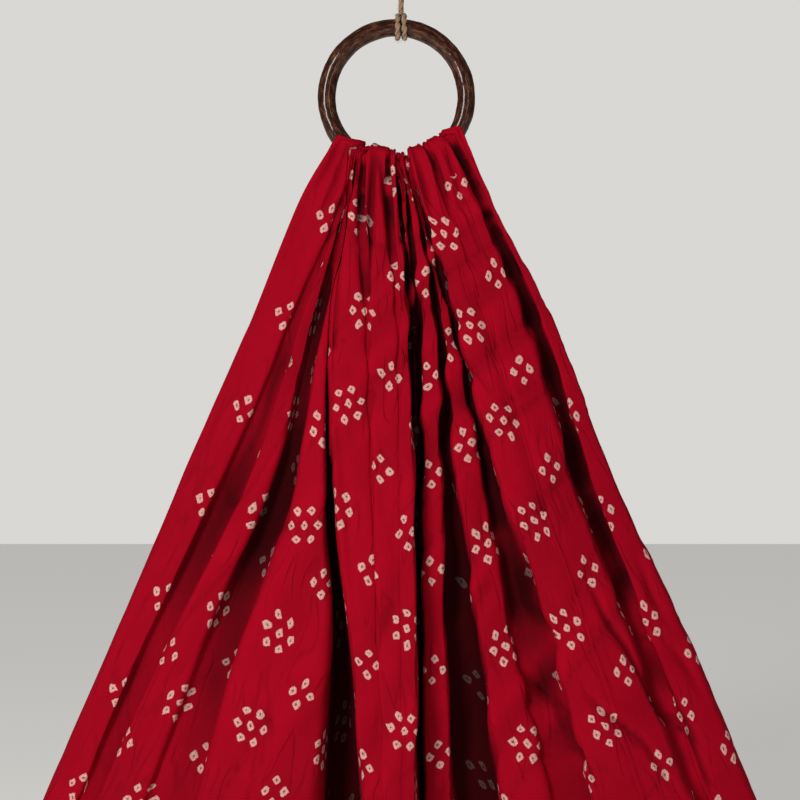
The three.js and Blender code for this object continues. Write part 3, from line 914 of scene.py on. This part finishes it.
uvs = np.stack([for_hems(print_u), for_hems(print_v)], axis=-1).reshape(-1, 2) / REPEAT
index = np.arange(len(full) * COLUMNS).reshape(len(full), COLUMNS)
faces = np.stack([index[:-1, :-1], index[1:, :-1], index[1:, 1:], index[:-1, 1:]], axis=-1).reshape(-1, 4)
cloth = make_mesh("draped_cloth", full.reshape(-1, 3), faces[:, ::-1], uvs)
for name, field in (("crest", crest), ("printed", may_show), ("sunk", sunk)):
    attribute = cloth.data.attributes.new(name, "FLOAT", "POINT")
    attribute.data.foreach_set("value", for_hems(field).ravel().astype(np.float32))
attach(cloth, "root")
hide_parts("cloth")
area = sum(face.area for face in cloth.data.polygons)
print("cloth", 2 * len(cloth.data.polygons), "triangles,", round(area, 3), "square metres")

# %% [markdown]
# ## The ring
# The ring is a bent twig: a rod a little uneven along its length, with old bud scars, under thick
# varnish. A torus is the start. Its section is then made to swell and thin, and small knots are
# raised, by moving its vertices.

# %% A torus shaped into a twig
deselect()
bpy.ops.mesh.primitive_torus_add(
    major_radius=RING_RADIUS * MM, minor_radius=ROD_RADIUS * MM, major_segments=420, minor_segments=36,
    location=tuple(RING_CENTRE * MM), rotation=(math.pi / 2, 0, 0))
ring = bpy.context.object
ring.name = "bent_twig_ring"
bpy.ops.object.transform_apply(location=True, rotation=True, scale=True)
bpy.ops.object.shade_smooth()

KNOTS = [  # bud scars: degrees round the ring from its right side, degrees round the rod, size in mm
    dict(at=63, face=250, size=3.2, high=0.5),
    dict(at=78, face=200, size=2.4, high=0.4),
    dict(at=122, face=230, size=2.8, high=0.4),
    dict(at=171, face=260, size=3.4, high=0.5),
    dict(at=14, face=240, size=3.0, high=0.45),
    dict(at=100, face=60, size=3.0, high=0.5),
    dict(at=30, face=90, size=3.2, high=0.5),
]


def arc(degrees, radius):
    return degrees * radius * math.pi / 180


mesh = ring.data
points = np.empty(len(mesh.vertices) * 3)
mesh.vertices.foreach_get("co", points)
points = points.reshape(-1, 3) / MM - RING_CENTRE
around = np.arctan2(points[:, 2], points[:, 0])
outward = np.stack([np.cos(around), 0 * around, np.sin(around)], axis=1)
from_rod = points - outward * RING_RADIUS
section = np.arctan2(from_rod[:, 1], (from_rod * outward).sum(axis=1))
along = np.degrees(around) % 360
swell = 1 + 0.035 * noise(along / 14, section * 0 + 3, 31) + 0.02 * noise(along / 4, section * 1.2 + 8, 32)
swell += 0.006 * noise(along / 1.6, section * 2.5 + 8, 33)
for knot in KNOTS:
    turn = np.degrees(np.angle(np.exp(1j * (section - math.radians(knot["face"])))))
    off = np.hypot(arc(along - knot["at"], RING_RADIUS), arc(turn, ROD_RADIUS))
    swell += knot["high"] / ROD_RADIUS * np.exp(-((off / knot["size"]) ** 2))
shaped = outward * RING_RADIUS + from_rod * np.minimum(swell, MOST_SWELL)[:, None] + RING_CENTRE
mesh.vertices.foreach_set("co", (shaped * MM).ravel())
layer = mesh.uv_layers.active
corners = np.empty(len(mesh.loops), dtype=np.int32)
mesh.loops.foreach_get("vertex_index", corners)
wrapped = np.stack([arc((along + 90) % 360, RING_RADIUS), (section % (2 * math.pi)) * ROD_RADIUS], 1)
layer.data.foreach_set("uv", wrapped[corners].astype(np.float32).ravel())
mesh.update()
deselect()
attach(ring, "root")
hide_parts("ring")
print("ring", len(mesh.polygons), "faces")

# %% [markdown]
# ## The flat size of the cloth
# The width is not. Real cotton gathers finer by the ring than a mesh can hold, so the mesh has too little
# cloth there, and its area has to be at least 0.7 of the declared one. 0.85 m was chosen for that. The hem
# measures 1.01 m round its folds, so the real cut is more likely about 1 m wide.

# %% [markdown]
# ## Colours and nodes
# Colours are chosen as a screen shows them (sRGB hex), but Blender computes with linear light, so one
# function converts them. One helper adds a node, sets it and links its inputs, and another ends a
# material in its shader and puts it on its pieces.

# %% Colour and node helpers
def linear(hex_colour):
    channels = [int(hex_colour[i : i + 2], 16) / 255 for i in (1, 3, 5)]
    return (*[c / 12.92 if c <= 0.04045 else ((c + 0.055) / 1.055) ** 2.4 for c in channels], 1.0)


def node(tree, kind, inputs=None, **settings):
    """Adds a node, applies its settings, then sets its inputs or links them to another node."""
    made = tree.nodes.new("ShaderNode" + kind)
    for name, value in settings.items():
        setattr(made, name, value)
    for key, value in (inputs or {}).items():
        if isinstance(value, bpy.types.Node):
            value = next(output for output in value.outputs if output.enabled)
        if isinstance(value, bpy.types.NodeSocket):
            tree.links.new(value, made.inputs[key])
        else:
            made.inputs[key].default_value = value
    return made


def new_material(name):
    material = bpy.data.materials.new(name)
    material.use_nodes = True
    material.node_tree.nodes.clear()
    return material, material.node_tree


def put_on(material, shader, pieces):
    node(material.node_tree, "OutputMaterial", {"Surface": shader})
    for piece in pieces:
        piece.data.materials.clear()
        piece.data.materials.append(material)
    print(material.name, len(material.node_tree.nodes), "nodes")


# %% [markdown]
# ## Crimson tie-dyed cotton
# Hand-woven cotton muslin, dyed after tying. It is matt, with a faint sheen of loose fibres. Each tie left
# a pale dot with a spot of dye in its middle and a ragged edge. The dots are drawn from the UV map, which
# counts repeats of the print. A place is folded into one quarter of a flower or of a diamond, and its
# distance in mm from the nearest tie there says whether the dye reached it.

# %% How far each place is from the nearest tie
FLOWER_REACH = 12.6
DIAMOND_REACH = 8.6
SQUARENESS = 0.55  # a pinch of cloth is pulled up square, so a dot is between a circle and a diamond
WANDER = 0.05  # how far the ties stray from the repeat, in repeats
cotton, tree = new_material("crimson_tie_dyed_cotton")
repeats = node(tree, "UVMap", uv_map="UVMap")
ragged = node(tree, "TexNoise", {"Vector": repeats, "Scale": REPEAT / 11, "Detail": 1.0},
              noise_dimensions="2D")
shake = node(tree, "VectorMath", {0: ragged.outputs["Color"], 1: (0.5, 0.5, 0.5)}, operation="SUBTRACT")
shaken = node(tree, "VectorMath", {0: shake, 1: (WANDER, WANDER, 0), 2: repeats}, operation="MULTIPLY_ADD")

distances = []
for offset, turn_by, dots in (
    (0.0, 0.9, ((0, 0), (FLOWER_REACH, 0), (FLOWER_REACH / 2, FLOWER_REACH * 0.866))),
    (0.5, 0.35, ((DIAMOND_REACH, 0), (0, DIAMOND_REACH))),
):
    moved_on = node(tree, "VectorMath", {0: shaken, 1: (0.5 + offset, 0.5 + offset, 0)}, operation="ADD")
    cell = node(tree, "VectorMath", {0: moved_on}, operation="FLOOR")
    in_cell = node(tree, "VectorMath", {0: moved_on, 1: cell}, operation="SUBTRACT")
    centred = node(tree, "VectorMath", {0: in_cell, 1: (0.5, 0.5, 0)}, operation="SUBTRACT")
    chance = node(tree, "TexWhiteNoise", {"Vector": cell}, noise_dimensions="2D")
    angle = node(tree, "Math", {0: chance, 1: turn_by, 2: -turn_by / 2}, operation="MULTIPLY_ADD")
    turned = node(tree, "VectorRotate", {"Vector": centred, "Angle": angle}, rotation_type="Z_AXIS")
    in_mm = node(tree, "VectorMath", {0: turned, 1: (REPEAT, REPEAT, 0)}, operation="MULTIPLY")
    folded = node(tree, "VectorMath", {0: in_mm}, operation="ABSOLUTE")
    for x, y in dots:
        off = node(tree, "VectorMath", {0: folded, 1: (x, y, 0)}, operation="SUBTRACT")
        far = node(tree, "VectorMath", {0: off}, operation="LENGTH")
        size = node(tree, "VectorMath", {0: off}, operation="ABSOLUTE")
        square = node(tree, "VectorMath", {0: size, 1: (0.74, 0.74, 0)}, operation="DOT_PRODUCT")
        distances.append(node(tree, "Mix", {"Factor": SQUARENESS, "A": far, "B": square}))
nearest = distances[0]
for distance in distances[1:]:
    nearest = node(tree, "Math", {0: nearest, 1: distance}, operation="MINIMUM")
print("dots drawn", len(distances), "before folding")

# %% The pale dot, its spot of dye and its ragged edge
DOT_EDGE = (3.5, 2.9)  # mm from the tie, where the dye ends and where the cotton is bare
DYE_SPOT = (0.5, 1.3)  # mm from the tie, where the spot ends
uneven = node(tree, "TexNoise", {"Vector": repeats, "Scale": REPEAT / 5, "Detail": 3.0, "Roughness": 0.7},
              noise_dimensions="2D")
edge = node(tree, "Math", {0: uneven, 1: 2.4, 2: -1.2}, operation="MULTIPLY_ADD")
rough_distance = node(tree, "Math", {0: nearest, 1: edge}, operation="ADD")
dot = node(tree, "MapRange", {"Value": rough_distance, "From Min": DOT_EDGE[0], "From Max": DOT_EDGE[1]},
           interpolation_type="SMOOTHSTEP")
tied = node(tree, "MapRange", {"Value": rough_distance, "From Min": DYE_SPOT[0], "From Max": DYE_SPOT[1],
                               "To Min": 0.12}, interpolation_type="SMOOTHSTEP")
printed = node(tree, "Attribute", attribute_name="printed")
may_be_bare = node(tree, "Math", {0: printed.outputs["Fac"], 1: 0.0}, operation="GREATER_THAN")
ring_mark = node(tree, "Math", {0: dot, 1: tied}, operation="MULTIPLY")
undyed = node(tree, "Math", {0: ring_mark, 1: may_be_bare}, operation="MULTIPLY")
thread_marks = node(tree, "TexNoise", {"Vector": repeats, "Scale": REPEAT / 1.3, "Detail": 2.0},
                    noise_dimensions="2D")
pale = node(tree, "Mix", {"Factor": thread_marks, "A": linear("#F3CEC4"), "B": linear("#B05C54")},
            data_type="RGBA")
print("a dot is about", 2 * DOT_EDGE[0], "mm across")

# %% [markdown]
# The dye is deep crimson and takes a little unevenly, in fine streaks. It is a little lighter on the crests
# of the crinkle and darker in its troughs. Painted shade darkens it along the lines that the ties pressed
# in, and most of all where the cloth lies sunk.

# %% The dye and its painted shade
patches = node(tree, "TexNoise", {"Vector": repeats, "Scale": 2.2, "Detail": 3.0}, noise_dimensions="2D")
dye = node(tree, "Mix", {"Factor": patches, "A": linear("#960018"), "B": linear("#A6031E")}, data_type="RGBA")
# The colour is a little lighter on the crinkle's crests and darker in its troughs, by the crest attribute.
crest_height = node(tree, "Attribute", attribute_name="crest")
tone_by_crest = node(tree, "MapRange", {"Value": crest_height.outputs["Fac"], "From Min": -1.4, "From Max": 1.6,
                                 "To Min": 0.9, "To Max": 1.08})
streaky = node(tree, "Mapping", {"Vector": repeats, "Scale": (REPEAT / 2.4, REPEAT / 9, 1)})
streaks = node(tree, "TexNoise", {"Vector": streaky, "Scale": 1.0, "Detail": 3.0, "Roughness": 0.6},
               noise_dimensions="2D")
streak_tone = node(tree, "MapRange", {"Value": streaks, "From Min": 0.3, "From Max": 0.7,
                                      "To Min": 0.97, "To Max": 1.03})
crinkle_at = node(tree, "Mapping", {"Vector": repeats, "Rotation": (0, 0, 0.1),
                                    "Scale": (REPEAT / 15, REPEAT / 62, 1)})
crinkles = node(tree, "TexNoise", {"Vector": crinkle_at, "Scale": 1.0, "Detail": 0.6, "Distortion": 0.2},
                noise_dimensions="2D")
from_line = node(tree, "Math", {0: crinkles, 1: 0.5}, operation="SUBTRACT")
from_line = node(tree, "Math", {0: from_line}, operation="ABSOLUTE")
line = node(tree, "MapRange", {"Value": from_line, "From Max": 0.07, "To Min": 1.0, "To Max": 0.0},
            interpolation_type="SMOOTHSTEP")
fading = node(tree, "MapRange", {"Value": patches, "From Min": 0.42, "From Max": 0.6})
line = node(tree, "Math", {0: line, 1: fading}, operation="MULTIPLY")
# Painted shade: the colour darkens by up to 14 percent along the fine crinkle lines that the bump presses in.
painted_crinkle_line_shade = node(tree, "MapRange", {"Value": line, "To Min": 1.0, "To Max": 0.86})
tone = node(tree, "Math", {0: tone_by_crest, 1: streak_tone}, operation="MULTIPLY")
tone = node(tree, "Math", {0: tone, 1: painted_crinkle_line_shade}, operation="MULTIPLY")
toned = node(tree, "VectorMath", {0: dye, "Scale": tone}, operation="SCALE")
colour = node(tree, "Mix", {"Factor": undyed, "A": toned, "B": pale}, data_type="RGBA")
# Painted shade: the colour darkens to a tenth where the cloth lies sunk between folds or in a crease.
valley_shade_attribute = node(tree, "Attribute", attribute_name="sunk")
painted_valley_shade = node(tree, "MapRange", {"Value": valley_shade_attribute.outputs["Fac"], "To Min": 1.0, "To Max": 0.1},
                 interpolation_type="SMOOTHSTEP")
colour_with_painted_shade = node(tree, "VectorMath", {0: colour, "Scale": painted_valley_shade}, operation="SCALE")
print("dye uses", len(tree.nodes), "nodes so far")

# %% The pucker at each tie, the streaks and the weave
THREADS = 1.5  # real threads are 0.35 mm apart, drawn at 1.5 mm so that they show
pucker = node(tree, "MapRange", {"Value": nearest, "From Max": 7.0, "To Min": 1.0, "To Max": 0.0},
              interpolation_type="SMOOTHSTEP")
weave_at = node(tree, "Mapping", {"Vector": repeats, "Scale": (REPEAT / THREADS, REPEAT / THREADS / 2.5, 1)})
weave = node(tree, "TexNoise", {"Vector": weave_at, "Scale": 1.0, "Detail": 1.0}, noise_dimensions="2D")
height = 0.0
for pattern, how_high in ((streaks, 0.22), (pucker, 0.55), (line, -0.7), (weave, 0.18)):
    height = node(tree, "Math", {0: pattern, 1: how_high, 2: height}, operation="MULTIPLY_ADD")
bump = node(tree, "Bump", {"Strength": 0.8, "Distance": 1.0 * MM, "Height": height})
shader = node(tree, "BsdfPrincipled", {
    "Base Color": colour_with_painted_shade, "Roughness": 0.85, "Specular IOR Level": 0.06, "Sheen Weight": 0.05,
    "Sheen Roughness": 0.5, "Sheen Tint": linear("#D02040"), "Normal": bump})
put_on(cotton, shader, [cloth])

# %% [markdown]
# ## Varnished twig
# Dark brown bark under a thick gloss varnish. The bark is mottled, with paler tan streaks along the rod and
# fine cracks. The varnish is a clear coat: sharp highlights over a duller wood.

# %% Twig material
twig, tree = new_material("varnished_twig_bark")
length_and_turn = node(tree, "UVMap", uv_map=ring.data.uv_layers.active.name)
along_rod = node(tree, "Mapping", {"Vector": length_and_turn, "Scale": (1 / 9, 1 / 2.2, 1)})
mottle = node(tree, "TexNoise", {"Vector": along_rod, "Scale": 1.0, "Detail": 5.0, "Roughness": 0.65},
              noise_dimensions="2D")
bark = node(tree, "ValToRGB", {"Fac": mottle})
ramp = bark.color_ramp
ramp.elements[0].position, ramp.elements[0].color = 0.32, linear("#1E0A05")
ramp.elements[1].position, ramp.elements[1].color = 0.74, linear("#754A2D")
ramp.elements.new(0.52).color = linear("#3B190C")
grain_at = node(tree, "Mapping", {"Vector": length_and_turn, "Scale": (1 / 3, 1 / 0.8, 1)})
grain = node(tree, "TexNoise", {"Vector": grain_at, "Scale": 1.0, "Detail": 3.0}, noise_dimensions="2D")
height = node(tree, "Math", {0: grain, 1: 0.5, 2: mottle}, operation="MULTIPLY_ADD")
bump = node(tree, "Bump", {"Strength": 0.35, "Distance": 0.5 * MM, "Height": height})
shader = node(tree, "BsdfPrincipled", {
    "Base Color": bark, "Roughness": 0.45, "Coat Weight": 0.6, "Coat Roughness": 0.13,
    "Specular IOR Level": 0.04, "Normal": bump})
put_on(twig, shader, [ring])

# %% [markdown]
# ## Jute
# Two-ply jute is tan and dull, streaked by its fibres, which run at an angle within each ply. The fibres
# are thinner than a pixel, so the streaks are drawn about half a millimetre wide.

# %% Jute material
jute, tree = new_material("spun_jute_twine")
laid = node(tree, "UVMap", uv_map="UVMap")
fibre_at = node(tree, "Mapping", {"Vector": laid, "Rotation": (0, 0, 0.6), "Scale": (2.0, 9.0, 1)})
fibres = node(tree, "TexNoise", {"Vector": fibre_at, "Scale": 1.6, "Detail": 4.0, "Roughness": 0.65},
              noise_dimensions="2D")
strands = node(tree, "ValToRGB", {"Fac": fibres})
ramp = strands.color_ramp
ramp.elements[0].position, ramp.elements[0].color = 0.3, linear("#6E4A30")
ramp.elements[1].position, ramp.elements[1].color = 0.72, linear("#C2A27C")
bump = node(tree, "Bump", {"Strength": 0.9, "Distance": 0.4 * MM, "Height": fibres})
shader = node(tree, "BsdfPrincipled", {
    "Base Color": strands, "Roughness": 0.9, "Sheen Weight": 0.2, "Normal": bump})
put_on(jute, shader, [*legs, hitch, eye, hairs])

# %% [markdown]
# ## The studio
# A plain pale floor just under the hem, soft light from the upper left and a weak fill from the right.
# The fill stays weak so the valleys of the cloth go dark, as they do on the real one.

# %% Floor and light
FLOOR_Z = -800
ROOM_LIGHT, SEEN_LIGHT = 0.16, 0.9  # the room lights the cloth weakly and is seen pale
deselect()
bpy.ops.mesh.primitive_plane_add(size=8, location=(0, 0, FLOOR_Z * MM))
floor = bpy.context.object
floor.name = "studio_floor"
floor_material, tree = new_material("pale_floor")
shader = node(tree, "BsdfPrincipled", {
    "Base Color": linear("#D8D6D2"), "Emission Color": linear("#E4E2DE"), "Emission Strength": 0.5,
    "Roughness": 0.8})
put_on(floor_material, shader, [floor])
deselect()


def soft_light(name, place, aim, size, watts):
    data = bpy.data.lights.new(name, "AREA")
    data.shape = "RECTANGLE"
    data.size, data.size_y = size
    data.energy = watts
    lamp = bpy.data.objects.new(name, data)
    lamp.location = place
    away = np.array(place) - np.array(aim)
    turn = math.atan2(away[0], -away[1])
    lamp.rotation_euler = (math.acos(away[2] / np.linalg.norm(away)), 0, turn)
    bpy.context.scene.collection.objects.link(lamp)


soft_light("key", (-0.95, -1.7, 0.25), (0, 0, -0.35), (0.45, 1.0), 28.5)
soft_light("fill", (0.95, -1.9, 0.1), (0, 0, -0.4), (0.35, 1.0), 3.6)
world = bpy.data.worlds.new("studio")
world.use_nodes = True
room = world.node_tree
glow = room.nodes["Background"]
glow.inputs[0].default_value = linear("#E4E2DE")
seen = node(room, "LightPath")
strength = node(room, "Mix", {"Factor": seen.outputs["Is Camera Ray"], "A": ROOM_LIGHT,
                             "B": SEEN_LIGHT})
room.links.new(strength.outputs[0], glow.inputs[1])
bpy.context.scene.world = world
bpy.context.scene.view_settings.view_transform = "Standard"
